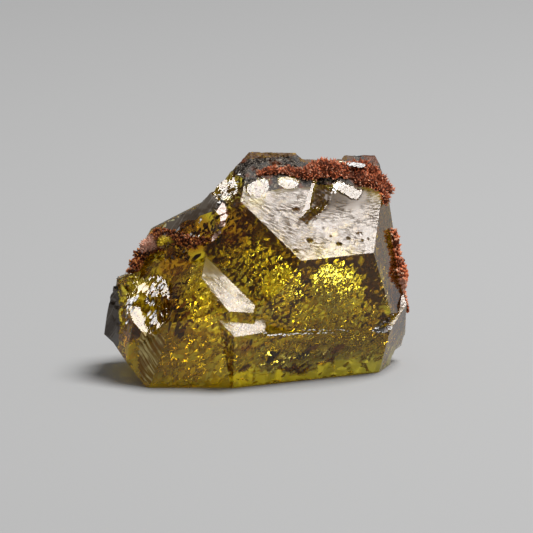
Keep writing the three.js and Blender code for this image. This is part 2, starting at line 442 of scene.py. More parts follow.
@dataclass(frozen=True)
class GemFinish:
    """Clear olive-yellow crystal, etched, chipped and frosted in places.

    The roughness starts at the smooth value, and each worn place adds its own.
    """

    ior: float = 1.66
    tint: Colour = (0.97, 0.95, 0.86, 1.0)
    amber: Colour = (1.0, 0.8, 0.22, 1.0)
    # Brown of the brown mask: partly real stain, partly painted shade on faces that are made darker.
    brown: Colour = (0.4, 0.15, 0.05, 1.0)
    gleam: Colour = (0.63, 0.572, 0.52, 1.0)
    absorbed: Colour = (0.975, 0.912, 0.0, 1.0)
    density: float = 1250.0
    smooth: float = 0.03
    etched: float = 0.14
    broken: float = 0.04
    frosted: float = 0.32
    grooved: float = 0.2
    dimmed: float = 0.42
    even_grain: float = 0.12
    groove_depth: float = 5.0e-6
    grain_depth: float = 8.0e-6

    def build(self, effects: Effects) -> bpy.types.Material:
        """Build the material.

        Args:
            effects: The shared node groups.

        Returns:
            The material.
        """
        material, graph, shader, output = start_material("gem_crystal")
        at = graph.use(effects.place).outputs["Vector"]
        strokes = graph.use(effects.striae, Vector=at)
        grit = graph.use(effects.grit, Vector=at).outputs["Height"]
        etched = graph.mask("etched")
        frosted = graph.mask("frosted")
        band = graph.fit(strokes.outputs["Band"], 0.38, 0.58, 0.15, 1.1)
        groove = graph.math("MULTIPLY", graph.math("SUBTRACT", 1.0, strokes.outputs["Height"]), band)
        groove = graph.math("MULTIPLY", groove, etched)
        rough = self.smooth
        for worn, more in ((etched, self.etched), (graph.mask("broken"), self.broken),
                           (frosted, self.frosted), (groove, self.grooved),
                           (graph.mask("dim"), self.dimmed)):
            rough = graph.math("MULTIPLY_ADD", worn, more, rough)
        grains = graph.math("MULTIPLY", grit, graph.math("ADD", frosted, self.even_grain))
        normal = graph.bump(graph.math("MULTIPLY", groove, -1.0), self.groove_depth, 0.9)
        normal = graph.bump(grains, self.grain_depth, 0.5, under=normal)
        warm = graph.blend(graph.mask("amber"), self.tint, self.amber)
        # The brown mask paints both stain and shade into the skin's colour.
        graph.feed(shader, {
            "Base Color": graph.blend(graph.mask("brown"), warm, self.brown), "Metallic": 0.0,
            "Roughness": rough, "IOR": self.ior, "Transmission Weight": 1.0,
            "Specular Tint": self.gleam, "Normal": normal})
        volume = graph.add("VolumeAbsorption")
        graph.feed(volume, {"Color": self.absorbed, "Density": self.density})
        graph.put(output, "Volume", volume.outputs["Volume"])
        return material


@dataclass(frozen=True)
class RustFinish:
    """Granular iron oxide, from near-black brown through brick red to orange."""

    name: str = "rust_crust"
    dark: Colour = (0.09, 0.02, 0.007, 1.0)
    brick: Colour = (0.95, 0.27, 0.11, 1.0)
    orange: Colour = (1.0, 0.58, 0.38, 1.0)
    cream: Colour = (0.8, 0.46, 0.33, 1.0)
    gold: Colour = (0.78, 0.58, 0.04, 1.0)
    roughness: float = 0.8
    gloss: float = 0.2
    soiled: float = 0.3
    grain_depth: float = 12.0e-6

    def build(self, effects: Effects) -> bpy.types.Material:
        """Build the material.

        Args:
            effects: The shared node groups.

        Returns:
            The material.
        """
        material, graph, shader, _ = start_material(self.name)
        at = graph.use(effects.place).outputs["Vector"]
        grit = graph.use(effects.grit, Vector=at)
        grain = graph.mask("tone")
        colour = graph.blend(graph.fit(grain, 0.05, 0.55), self.dark, self.brick)
        colour = graph.blend(graph.fit(grain, 0.55, 1.0), colour, self.orange)
        patch = graph.fit(grit.outputs["Patch"], 0.42, 0.62)
        colour = graph.blend(graph.math("MULTIPLY", patch, self.soiled), colour, self.dark)
        colour = graph.blend(graph.mask("pale"), colour, self.cream)
        colour = graph.blend(graph.mask("golden"), colour, self.gold)
        graph.feed(shader, {
            "Base Color": colour, "Roughness": self.roughness, "Specular IOR Level": self.gloss,
            "Normal": graph.bump(grit.outputs["Height"], self.grain_depth, 0.6)})
        return material


WET_RUST = RustFinish(
    "wet_rust", dark=(0.035, 0.008, 0.003, 1.0), brick=(0.3, 0.07, 0.018, 1.0),
    orange=(0.68, 0.26, 0.065, 1.0), roughness=0.4)
OCHRE_CRUST = RustFinish(
    "ochre_crust", dark=(0.2, 0.1, 0.02, 1.0), brick=(0.56, 0.36, 0.07, 1.0),
    orange=(0.72, 0.55, 0.17, 1.0))


@dataclass(frozen=True)
class FlakeFinish:
    """The skin of the flakes in the fractures."""

    name: str
    pale: Colour
    deep: Colour
    metallic: float
    roughness: float

    def build(self) -> bpy.types.Material:
        """Build the material.

        Returns:
            The material.
        """
        material, graph, shader, _ = start_material(self.name)
        tone = graph.mask("tone")
        graph.feed(shader, {
            "Base Color": graph.blend(graph.fit(tone, 0.2, 0.8), self.deep, self.pale),
            "Metallic": self.metallic,
            "Roughness": graph.math("MULTIPLY_ADD", tone, 0.2, self.roughness)})
        return material


@dataclass(frozen=True)
class RimFinish:
    """Crystal skin that is etched or coated until it hardly lets light through. The dark grey skin on
    glassy facets paints shade, and the golden crest paints light shining through the thin edge.

    Its lines have the direction that they run in and the one across them. The share is the range
    of the drawn noise where a line brightens.
    """

    name: str
    ground: Colour
    wire: Colour
    roughness: float
    relief: float
    lines: tuple[Place, Place] | None = None
    stain: Colour = (0.12, 0.05, 0.015, 1.0)
    ior: float = 1.66
    share: tuple[float, float] = (0.54, 0.64)

    def build(self, effects: Effects) -> bpy.types.Material:
        """Build the material.

        Args:
            effects: The shared node groups.

        Returns:
            The material.
        """
        material, graph, shader, _ = start_material(self.name)
        at = graph.use(effects.place).outputs["Vector"]
        grit = graph.use(effects.grit, Vector=at)
        wires = self._wires(graph, effects, at)
        colour = graph.blend(graph.math("MULTIPLY", wires, 0.8), self.ground, self.wire)
        stained = graph.fit(grit.outputs["Patch"], 0.48, 0.62, 0.0, 0.7)
        normal = graph.bump(wires, self.relief, 0.9)
        graph.feed(shader, {
            "Base Color": graph.blend(stained, colour, self.stain), "Roughness": self.roughness,
            "IOR": self.ior,
            "Normal": graph.bump(grit.outputs["Height"], self.relief, 0.5, under=normal)})
        return material

    def _wires(self, graph: Graph, effects: Effects, at: Socket) -> Socket:
        """Draw the bright wires: along the lines if it has them, else curling.

        Args:
            graph: The material's graph.
            effects: The shared node groups.
            at: The place on the object in millimetres.

        Returns:
            A mask of the wires.
        """
        if self.lines:
            drawn = graph.use(effects.scratches, Vector=at, Along=self.lines[0], Across=self.lines[1])
            return graph.fit(drawn.outputs["Height"], *self.share)
        curls = graph.math("SUBTRACT", graph.noise(at, 4.2, 3.0, 0.62, 1.6), 0.5)
        return graph.fit(graph.math("ABSOLUTE", curls), 0.0, 0.04, 1.0, 0.0)


ETCHED_RIM = RimFinish(
    "etched_rim", (0.016, 0.01, 0.006, 1.0), (0.54, 0.46, 0.37, 1.0), 0.45, 18.0e-6,
    stain=(0.21, 0.055, 0.014, 1.0), ior=1.3)
CREAM_FACET = RimFinish(
    "cream_facet", (0.62, 0.36, 0.26, 1.0), (0.75, 0.65, 0.56, 1.0), 0.22, 3.0e-6, ior=1.5)
# Dark grey coat on glassy facets: painted shade, with real striation lines.
SHADED_GLASSY_SKIN = RimFinish(
    "shaded_glassy_skin", (0.1, 0.08, 0.06, 1.0), (0.25, 0.22, 0.19, 1.0), 0.26, 3.0e-6,
    lines=((-0.36, -0.85, -0.38), (0.84, -0.12, -0.53)), stain=(0.035, 0.018, 0.007, 1.0), ior=1.5)
FEATHERED_FACET = RimFinish(
    "feathered_facet", (0.26, 0.14, 0.009, 1.0), (0.8, 0.66, 0.28, 1.0), 0.35, 12.0e-6,
    lines=((0.534, -0.454, -0.712), (-0.467, 0.268, -0.52)), stain=(0.2, 0.08, 0.005, 1.0),
    ior=1.35, share=(0.46, 0.6))
GLASSY_CHIP = RimFinish(
    "glassy_chips", (0.22, 0.2, 0.18, 1.0), (0.44, 0.42, 0.4, 1.0), 0.14, 3.0e-6, ior=1.5)
# Golden-brown coat on the thin crest: partly the crystal's own colour, partly painted light shining
# through the thin edge.
GOLDEN_CREST = RimFinish(
    "golden_crest", (0.1, 0.04, 0.006, 1.0), (0.43, 0.24, 0.02, 1.0), 0.6, 14.0e-6, ior=1.5)
GLINT_FINISH = FlakeFinish(
    "glint_flakes", (0.95, 0.9, 0.4, 1.0), (0.85, 0.68, 0.2, 1.0), 0.3, 0.35)
SPARK_FINISH = FlakeFinish(
    "spark_flakes", (0.9, 0.86, 0.5, 1.0), (0.85, 0.74, 0.24, 1.0), 0.85, 0.14)
AMBER_FINISH = FlakeFinish(
    "amber_flakes", (1.0, 0.98, 0.4, 1.0), (1.0, 0.84, 0.12, 1.0), 0.0, 0.6)
# Dark brown flake colours: partly real brown inclusions, partly painted shade.
STAIN_AND_SHADE_FINISH = FlakeFinish(
    "stain_and_shade_flakes", (0.3, 0.12, 0.03, 1.0), (0.05, 0.02, 0.008, 1.0), 0.0, 0.45)


def soft(value: Points, start: float, end: float) -> Points:
    """Rise smoothly from 0 at start to 1 at end, for many values."""
    t = np.clip((value - start) / (end - start), 0.0, 1.0)
    return t * t * (3.0 - 2.0 * t)


@dataclass(frozen=True)
class Zone:
    """A soft-edged ellipsoid, in millimetres from the datum.

    The edge is the share of its reach that is soft, and a higher power makes it boxier.
    """

    middle: Place
    half: Place
    edge: float = 0.35
    power: float = 2.0

    def weight(self, points: Points) -> Points:
        """Give 1 well inside the zone and 0 outside it."""
        reach = np.linalg.norm((points - self.middle) / self.half, ord=self.power, axis=1)
        return 1.0 - soft(reach, 1.0 - self.edge, 1.0)


def strongest(zones: Iterable[Zone], points: Points) -> Points:
    """Give the highest weight that any zone has at each point."""
    return np.max([zone.weight(points) for zone in zones], axis=0)


# Numbers that stir whole-numbered cells until they look random.
CELL_MIX = (73856093, 19349663, 83492791)
SEED_MIX = 2654435
STIR = 1274126177
LOW_BITS = 0x7FFFFFFF
SHADES = 65536


def scatter(cells: Points, seed: int) -> Points:
    """Draw random numbers that depend on the cell and the seed alone.

    Args:
        cells: Three whole numbers a cell.
        seed: Picks the pattern.

    Returns:
        Three numbers between 0 and 1 for each cell.
    """
    mixed = cells.astype(np.int64) @ np.array(CELL_MIX) + seed * SEED_MIX
    out = []
    for _ in range(3):
        mixed = (mixed ^ (mixed >> 13)) * STIR & LOW_BITS
        out.append((mixed % SHADES) / SHADES)
    return np.stack(out, axis=1)


def nearest_cell(place: Points, seed: int) -> tuple[Points, Points]:
    """Find the unit cell whose random middle lies nearest.

    Args:
        place: Three numbers a place.
        seed: Picks the pattern.

    Returns:
        The cell of each place, and the step to the place from that cell's middle.
    """
    cell = np.floor(place)
    best = np.full(len(place), np.inf)
    owner = np.zeros_like(place)
    offset = np.zeros_like(place)
    for step in itertools.product((-1, 0, 1), repeat=3):
        near = cell + step
        away = place - (near + scatter(near, seed))
        far = np.einsum("ij,ij->i", away, away)
        closer = far < best
        best[closer] = far[closer]
        owner[closer] = near[closer]
        offset[closer] = away[closer]
    return owner, offset


def chips(points: Points, size: float, seed: int) -> Points:
    """Give random tilted facets.

    Args:
        points: Places in millimetres.
        size: How wide a facet is, in millimetres.
        seed: Picks the pattern.

    Returns:
        The height of the facet at each place, as a share of its size.
    """
    owner, away = nearest_cell(points / size, seed)
    return np.einsum("ij,ij->i", away, 2.0 * scatter(owner, seed + 50) - 1.0)


def strips(points: Points, way: Place, long: float, wide: float, seed: int) -> Points:
    """Split space into strips and give three numbers between 0 and 1 for each strip.

    Args:
        points: Places in millimetres.
        way: The direction that the strips run in.
        long: Their length in millimetres.
        wide: Their width in millimetres.
        seed: Picks the pattern.

    Returns:
        The numbers of the strip at each place.
    """
    run = np.array(Vector(way).normalized())
    side = np.cross(run, (0.0, 0.0, 1.0))
    side /= np.linalg.norm(side)
    place = np.stack([points @ run / long, points @ side / wide,
                      points @ np.cross(run, side) / wide], axis=1)
    owner, _ = nearest_cell(place, seed)
    return scatter(owner, seed + 90)


def refine(verts: Points, faces: Points,
           longest: Callable[[Points], Points]) -> tuple[Points, Points]:
    """Split triangles at their long edges until none is left.

    Args:
        verts: Corners.
        faces: Three corner numbers a triangle.
        longest: Gives the longest edge that may stay at each place.

    Returns:
        The new corners and triangles.
    """
    while True:
        ends = np.sort(np.concatenate([faces[:, [0, 1]], faces[:, [1, 2]], faces[:, [2, 0]]]), axis=1)
        _, first, which = np.unique(ends @ np.array([len(verts), 1]), return_index=True,
                                    return_inverse=True)
        edges = ends[first]
        which = which.reshape(3, -1).T
        length = np.linalg.norm(verts[edges[:, 0]] - verts[edges[:, 1]], axis=1)
        long = length > longest(verts[edges].mean(axis=1))
        if not long.any():
            return verts, faces
        row = np.arange(len(faces))
        turn = np.argmax(length[which], axis=1)
        main = which[row, turn]
        while True:
            lacking = main[long[which].any(axis=1)]
            if long[lacking].all():
                break
            long[lacking] = True
        middle = np.full(len(edges), -1)
        middle[long] = len(verts) + np.arange(long.sum())
        verts = np.concatenate([verts, verts[edges[long]].mean(axis=1)])
        # Each triangle is split across its longest edge, and then at its other long edges.
        a, b, c = (faces[row, (turn + k) % 3] for k in range(3))
        m = [middle[which[row, (turn + k) % 3]] for k in range(3)]
        whole = m[0] < 0
        made = [faces[whole]]
        for corner, other, far in ((b, c, m[1]), (c, a, m[2])):
            plain = ~whole & (far < 0)
            split = ~whole & (far >= 0)
            made.append(np.stack([m[0], corner, other], axis=1)[plain])
            made.append(np.stack([m[0], corner, far], axis=1)[split])
            made.append(np.stack([m[0], far, other], axis=1)[split])
        faces = np.concatenate(made)


def depth_inside(points: Points, outline: Sequence[tuple[float, float]]) -> Points:
    """Measure how far inside an outline flat points lie.

    Args:
        points: Two numbers a point.
        outline: The outline's corners in order.

    Returns:
        The distance from the outline for each point, negative outside it.
    """
    corners = np.array(outline)
    nearest = np.full(len(points), np.inf)
    inside = np.zeros(len(points), dtype=bool)
    for start, end in zip(corners, np.roll(corners, -1, axis=0)):
        way = end - start
        away = points - start
        share = np.clip(away @ way / (way @ way), 0.0, 1.0)
        nearest = np.minimum(nearest, np.linalg.norm(away - share[:, None] * way, axis=1))
        between = (start[1] > points[:, 1]) != (end[1] > points[:, 1])
        rise = way[1] if way[1] else 1e-9
        crossing = start[0] + (points[:, 1] - start[1]) * way[0] / rise
        inside ^= between & (points[:, 0] < crossing)
    return np.where(inside, nearest, -nearest)


@dataclass(frozen=True)
class TerminalRelief:
    """Growth plates, etch pits and the growth step on the terminal.

    Places on it are measured in millimetres, right along its lower edge and up its slope.
    A pit has its place and then its half width and half height. The step's foot has how far up
    and how far right it runs. A place no further off the face than near_face belongs to it.
    """

    outline: tuple[tuple[float, float], ...] = (
        (-1.1, 2.02), (0.0, 0.03), (2.03, 0.1), (2.78, 1.85), (2.85, 2.3), (2.0, 2.75),
        (0.5, 2.85), (-0.75, 2.75))
    plates: tuple[tuple[tuple[float, float], ...], ...] = (
        ((-0.81, 2.6), (-0.36, 2.85), (-0.12, 2.72), (-0.24, 2.33), (-0.45, 2.13),
         (-0.8, 2.22), (-0.95, 2.4)),
        ((0.08, 2.78), (0.33, 2.8), (0.6, 2.75), (0.72, 2.56), (0.52, 2.35), (0.24, 2.33),
         (0.06, 2.5)),
        ((1.52, 2.42), (1.78, 2.55), (2.0, 2.4), (2.24, 2.2), (2.36, 2.18), (2.32, 1.98),
         (2.13, 1.83), (1.93, 1.85), (1.82, 1.98), (1.6, 2.2)),
        ((2.31, 3.05), (2.6, 3.0), (2.86, 2.88), (2.75, 2.72), (2.56, 2.62), (2.45, 2.72)),
    )
    plate_height: float = 0.007
    pits: tuple[tuple[float, float, float, float], ...] = (
        (0.34, 1.68, 0.12, 0.06), (0.42, 0.64, 0.09, 0.08), (1.19, 0.44, 0.09, 0.07),
        (1.84, 0.74, 0.14, 0.04), (-0.06, 0.33, 0.09, 0.07), (1.5, 0.6, 0.06, 0.05),
        (1.86, 0.5, 0.045, 0.045), (2.04, 0.53, 0.04, 0.04), (2.2, 0.52, 0.04, 0.04),
        (1.03, 0.72, 0.04, 0.04), (1.05, 0.27, 0.04, 0.03), (0.9, 0.98, 0.03, 0.03),
    )
    step_foot: tuple[tuple[float, float], ...] = (
        (1.2, 0.2), (1.31, 0.29), (1.49, 0.52), (1.68, 0.75), (2.24, 1.0), (2.46, 1.11),
        (2.8, 1.25))
    step_depth: float = 0.09
    step_reach: float = 0.5
    rubble_depth: float = 0.09
    pit_slope: float = 0.55
    near_face: float = 0.2

    def flat(self, points: Points) -> tuple[Points, Points]:
        """Split places into the two along the face and the one out of it.

        Args:
            points: Places in millimetres from the datum.

        Returns:
            The places on the face, and how far out of it each lies.
        """
        along = np.array((-TERMINAL.y, TERMINAL.x, 0.0))
        along /= np.linalg.norm(along)
        away = points - TERMINAL_APEX
        upslope = np.cross(np.array(TERMINAL), along)
        return np.stack([away @ along, away @ upslope], axis=1), away @ np.array(TERMINAL)

    @staticmethod
    def _facets(at: Points, width: float, seed: int) -> Points:
        """Give random facets on the face, for ragged outlines and rubble."""
        return chips(np.pad(at, ((0, 0), (0, 1))), width, seed)

    def _past(self, at: Points) -> Points:
        """Give how far to the right of the growth step's foot each place lies."""
        rise, foot = zip(*self.step_foot)
        return at[:, 0] - np.interp(at[:, 1], rise, foot)

    def plated(self, at: Points) -> Points:
        """Give 1 on the smooth growth plates and 0 beside them.

        Args:
            at: Places on the face.

        Returns:
            The weight of each.
        """
        ragged = 0.035 * self._facets(at, 0.12, 31)
        return np.max([soft(depth_inside(at, plate) + ragged, 0.0, 0.035)
                       for plate in self.plates], axis=0)

    def valley(self, at: Points) -> Points:
        """Give 1 in the broken core of the valley beside the growth step.

        Args:
            at: Places on the face.

        Returns:
            The weight of each.
        """
        past = self._past(at)
        ragged = 0.1 * self._facets(at, 0.2, 35)
        return (soft(past, -0.02, 0.03) * (1.0 - soft(past + ragged, 0.3, 0.55))
                * soft(at[:, 1] + ragged, 1.15, 1.4))

    def dimmed(self, at: Points) -> Points:
        """Give 1 where the face is etched dull, in the valley and near its top.

        Args:
            at: Places on the face.

        Returns:
            The weight of each.
        """
        past = self._past(at)
        valley = soft(past, -0.02, 0.05) * soft(at[:, 1], 1.2, 1.9) * (1.0 - soft(past, 0.5, 1.6) * 0.5)
        top = soft(at[:, 1] + 0.12 * self._facets(at, 0.3, 33), 2.2, 2.4)
        return np.maximum(valley, top) * (1.0 - self.plated(at))

    def height(self, at: Points) -> Points:
        """Give how far the face stands out.

        Args:
            at: Places on the face.

        Returns:
            The height of each, in millimetres.
        """
        plates = self.plated(at)
        past = self._past(at) + 0.03 * self._facets(at, 0.15, 32)
        drop = self.step_depth * soft(at[:, 1], 1.25, 2.1)
        step = drop * soft(past, -0.03, 0.02) * np.exp(-np.maximum(past, 0.0) / self.step_reach)
        step = step + self.rubble_depth * np.abs(self._facets(at, 0.13, 34)) * self.valley(at)
        pits = np.zeros(len(at))
        for right, up, wide, high in self.pits:
            reach = np.hypot((at[:, 0] - right) / wide, (at[:, 1] - up) / high)
            pits = np.maximum(pits, self.pit_slope * high * np.clip(1.0 - reach, 0.0, 1.0))
        return self.plate_height * plates - step * (1.0 - 0.7 * plates) - pits

    def apply(self, points: Points) -> Points:
        """Move the points of the terminal to its relief.

        Args:
            points: Places in millimetres from the datum.

        Returns:
            The places, moved where they lie on the terminal.
        """
        at, out = self.flat(points)
        inside = soft(depth_inside(at, self.outline), 0.0, 0.05) * (np.abs(out) < self.near_face)
        return points + ((self.height(at) - out) * inside)[:, None] * np.array(TERMINAL)


def facing(verts: Points, faces: Points) -> tuple[Points, Points]:
    """Give the directions of triangles.

    Args:
        verts: Corners.
        faces: Three corner numbers a triangle.

    Returns:
        Normals as long as twice each triangle's area, and unit normals.
    """
    cross = np.cross(verts[faces[:, 1]] - verts[faces[:, 0]], verts[faces[:, 2]] - verts[faces[:, 0]])
    return cross, cross / np.maximum(np.linalg.norm(cross, axis=1, keepdims=True), 1e-12)


def to_corners(values: Points, faces: Points, count: int) -> Points:
    """Give each corner the highest value of its triangles.

    Args:
        values: A value for each triangle, 0 or more.
        faces: Three corner numbers a triangle.
        count: The number of corners.

    Returns:
        A value for each corner.
    """
    spread = np.zeros(count)
    for k in range(3):
        np.maximum.at(spread, faces[:, k], values)
    return spread


def mesh_from(name: str, verts: Points, faces: Points, **paint: Points) -> bpy.types.Object:
    """Make an object.

    Args:
        name: Its name.
        verts: Its corners, in metres.
        faces: Its triangles.
        paint: A number for each corner, by name.

    Returns:
        The object, linked to the scene.
    """
    mesh = bpy.data.meshes.new(name)
    mesh.vertices.add(len(verts))
    mesh.vertices.foreach_set("co", verts.astype(np.float32).ravel())
    mesh.loops.add(faces.size)
    mesh.loops.foreach_set("vertex_index", faces.astype(np.int32).ravel())
    mesh.polygons.add(len(faces))
    mesh.polygons.foreach_set("loop_start", np.arange(0, faces.size, 3, dtype=np.int32))
    mesh.update(calc_edges=True)
    for label, values in paint.items():
        layer = mesh.attributes.new(label, "FLOAT", "POINT")
        layer.data.foreach_set("value", values.astype(np.float32))
    return link(name, mesh)


@dataclass(frozen=True)
class Coat:
    """A part of the crystal's skin with a finish of its own.

    It covers the faces in its zone that look the given way, by more than the share.
    """

    skin: Skin
    zone: Zone
    facing: Place = (0.0, 0.0, 0.0)
    share: float = -1.0

    def covers(self, points: Points, normals: Points, ragged: Points) -> Points:
        """Tell which of the places have this finish."""
        return (self.zone.weight(points) + ragged > 0.5) & (normals @ self.facing > self.share)


@dataclass
class Crystal:
    """The clear crystal: its flat faces kept, its broken parts made sharp and its edges worn."""

    sharp: float = 24.0
    coarse: float = 0.13
    fine: float = 0.042
    relief: TerminalRelief = TerminalRelief()
    broken: tuple[Zone, ...] = (
        Zone((-3.5, 0.9, 2.3), (0.6, 0.9, 1.2)),
        Zone((-2.4, 1.6, 3.6), (1.2, 0.9, 0.65)),
        Zone((-0.75, 1.5, 4.85), (0.5, 0.8, 0.6)),
    )
    stepped: tuple[Zone, ...] = (
        Zone((-2.8, 0.6, 2.15), (0.72, 0.9, 1.2), 0.15),
        Zone((-0.75, 1.9, 5.0), (0.5, 0.7, 0.45), 0.3),
    )
    pitch: float = 0.18
    tread: tuple[float, float] = (0.9, 0.13)
    ridge: tuple[Zone, ...] = (Zone((0.45, 2.5, 5.5), (1.05, 0.55, 0.4), 0.3),)
    dull: tuple[Zone, ...] = (Zone((-1.5, 1.7, 4.4), (0.55, 0.6, 0.5)),)
    # The ways that etched, back, bottom and ledge faces look. Wear starts where the cosine of the
    # angle between a face and its way passes the first number, and is full at the second.
    worn_ways: tuple[tuple[Place, float, float], ...] = (
        (tuple(TERMINAL), 0.96, 0.995), ((0.0, 1.0, 0.0), 0.15, 0.45),
        ((0.0, 0.0, -1.0), 0.9, 0.98), (tuple(LEDGE), 0.985, 0.998))
    # Depth and width of the chips on the broken left side, the ridge and the back.
    chipping: tuple[tuple[float, float], ...] = ((0.13, 0.24), (0.07, 0.13), (0.14, 0.42))
    amber: tuple[Zone, ...] = (
        Zone((-2.2, 0.6, 1.3), (2.2, 1.7, 2.1), 0.4),
        Zone((-3.2, 0.8, 2.7), (0.6, 0.9, 0.9), 0.6),
        Zone((-0.6, 1.1, 4.2), (0.7, 0.9, 0.7), 0.7),
        Zone((3.6, 2.0, 0.9), (0.6, 1.2, 1.0), 0.6),
    )
    # Brown zones: partly real brown stain, partly painted shade, such as the darkened right side in the
    # last zone.
    brown: tuple[Zone, ...] = (
        Zone((-2.15, 0.6, 2.15), (0.52, 0.9, 0.75), 0.6),
        Zone((-0.9, 0.3, 1.3), (0.25, 0.5, 0.5), 0.6),
        Zone((-0.55, 0.9, 4.15), (0.75, 0.9, 0.95), 0.6),
        Zone((-0.2, -0.3, 1.15), (0.5, 0.5, 0.3), 0.9),
        Zone((-1.7, 1.4, 3.85), (0.95, 0.9, 0.7), 0.4),
        Zone((-2.2, 1.1, 3.15), (0.85, 1.0, 0.6), 0.5),
        Zone((3.75, 2.2, 2.4), (0.5, 1.2, 1.5), 0.5),
    )
    dim_terrace: Zone = Zone((-1.25, 1.0, 3.25), (0.8, 0.85, 0.8), 0.4)
    bright_patch: Zone = Zone((-3.08, 0.5, 1.7), (0.34, 0.55, 0.5), 0.1, 3.0)
    coats: tuple[Coat, ...] = (
        Coat(Skin.ETCHED, Zone((0.45, 2.5, 5.5), (1.15, 0.75, 0.5), 0.3, 4.0)),
        Coat(Skin.ETCHED, Zone((1.4, 2.35, 5.15), (2.2, 1.0, 0.24), 0.3, 4.0),
             tuple(TERMINAL), 0.9),
        Coat(Skin.ETCHED, Zone((3.0, 2.9, 5.35), (0.7, 0.9, 0.55), 0.2, 4.0)),
        # The crest coats paint the light that shines through the thin top edge, in golden brown.
        Coat(Skin.CREST, Zone((1.9, 2.9, 5.65), (0.8, 1.0, 0.22), 0.2, 4.0)),
        Coat(Skin.CREST, Zone((1.0, 2.9, 5.9), (3.5, 1.0, 0.27), 0.2, 4.0)),
        # Painted shade: a dark grey coat on glassy facets of the lobe and the shoulder.
        Coat(Skin.SHADED_GLASSY, Zone((-3.95, 1.5, 1.5), (0.42, 0.9, 1.3), 0.3, 4.0)),
        Coat(Skin.SHADED_GLASSY, Zone((-1.75, 1.85, 4.25), (1.15, 0.9, 0.65), 0.2, 5.0),
             (-0.4, -0.51, 0.77), 0.9),
        Coat(Skin.FEATHERED, Zone((-2.7, 0.1, 0.8), (0.42, 0.5, 0.75), 0.2, 4.0),
             (-0.57, -0.82, 0.09), 0.85),
    )

    def build(self, finishes: Sequence[bpy.types.Material]) -> bpy.types.Object:
        """Build the crystal.

        Args:
            finishes: Its finishes, in the order of the skins.

        Returns:
            The object.
        """
        verts, faces = refine(*self._facets(), self._longest)
        slots = self._slots(verts, faces)
        verts, paint = self._wear(verts, faces)
        made = mesh_from("gem_crystal", verts * MM + np.array(DATUM), faces, **paint)
        made.data.set_sharp_from_angle(angle=math.radians(self.sharp))
        for finish in finishes:
            made.data.materials.append(finish)
        made.data.polygons.foreach_set("material_index", slots.astype(np.int32))
        return made

    def _longest(self, points: Points) -> Points:
        """Give how long an edge may stay: short on the terminal and where it is broken.

        Args:
            points: Places on the skin.

        Returns:
            The longest edge for each place.
        """
        at, out = self.relief.flat(points)
        near = np.abs(out) < self.relief.near_face
        terminal = (depth_inside(at, self.relief.outline) > -0.05) & near
        rough = strongest(self.broken + self.stepped + self.ridge, points) > 0.05
        return np.where(terminal | (strongest(self.stepped, points) > 0.05), self.fine,
                        np.where(rough, 1.3 * self.fine, self.coarse))

    @staticmethod
    def _facets() -> tuple[Points, Points]:
        """Take the flat faces from the plain crystal.

        Returns:
            Corners in millimetres from the datum, and triangles.
        """
        bm = plain_mesh("crystal")
        bm.verts.index_update()
        verts = np.array([(v.co - DATUM) / MM for v in bm.verts])
        faces = np.array([[v.index for v in f.verts] for f in bm.faces])
        bm.free()
        return verts, faces

    def _wear(self, verts: Points, faces: Points) -> tuple[Points, dict[str, Points]]:
        """Move the skin in, and paint where it is etched, broken and frosted, and where it is brown:
        partly real stain, partly painted shade.

        Args:
            verts: Places on the skin.
            faces: Three corner numbers a triangle.

        Returns:
            The places moved, and a number for each of them by the name of the paint.
        """
        cross, flat = facing(verts, faces)
        normal = np.zeros_like(verts)
        for k in range(3):
            np.add.at(normal, faces[:, k], cross)
        normal /= np.maximum(np.linalg.norm(normal, axis=1, keepdims=True), 1e-12)
        count = len(verts)
        etched, behind, under, ledge = (to_corners(soft(flat @ np.array(way), *limits), faces, count)
                                        for way, *limits in self.worn_ways)
        at, _ = self.relief.flat(verts)
        on_face = etched * (depth_inside(at, self.relief.outline) > 0.0)
        etched = etched * (1.0 - 0.85 * on_face * self.relief.plated(at))
        terrace = self.dim_terrace.weight(verts + 0.25 * chips(verts, 0.35, 16)[:, None])
        dim = np.maximum((on_face > 0.0) * self.relief.dimmed(at), etched * terrace)
        valley = (on_face > 0.0) * self.relief.valley(at)
        broken = strongest(self.broken, verts) * (1.0 - etched)
        stepped = strongest(self.stepped, verts) * (1.0 - etched) * (under < 0.5)
        patch = self.bright_patch.weight(verts + 0.2 * chips(verts, 0.3, 15)[:, None])
        depth = self._chipped(verts, broken * (1.0 - stepped), behind)
        depth = np.where(under > 0.5, 0.0, depth * (1.0 - patch))
        moved = self.relief.apply(verts - normal * depth[:, None])
        ragged = 0.25 * chips(verts, 0.5, 14)
        return self._treads(moved, stepped, patch), {
            "etched": etched, "broken": broken * (1.0 - patch), "dim": dim,
            "frosted": np.max([behind, under, 0.8 * strongest(self.dull, verts), ledge], axis=0),
            "amber": np.clip(strongest(self.amber, verts) + ragged, 0.0, 1.0),
            # The brown mask is partly real stain and partly painted shade: besides its zones it darkens
            # the underside, the stepped places, the valley and the dull etched places.
            "brown": np.max([strongest(self.brown, verts), under * (0.4 + 0.5 * ragged),
                             0.5 * stepped * (0.8 + ragged), 0.75 * valley, 0.45 * dim], axis=0)}

    def _chipped(self, verts: Points, broken: Points, behind: Points) -> Points:
        """Give how deep the skin is chipped.

        Args:
            verts: Places on the skin.
            broken: How fully each place belongs to the broken left side, 0 to 1.
            behind: How fully it looks to the back.

        Returns:
            The depth at each place, in millimetres.
        """
        depth = np.zeros(len(verts))
        amounts = (broken, strongest(self.ridge, verts), behind)
        for seed, (amount, (deep, wide)) in enumerate(zip(amounts, self.chipping), 1):
            depth += deep * amount * np.abs(chips(verts, wide, seed))
        return depth

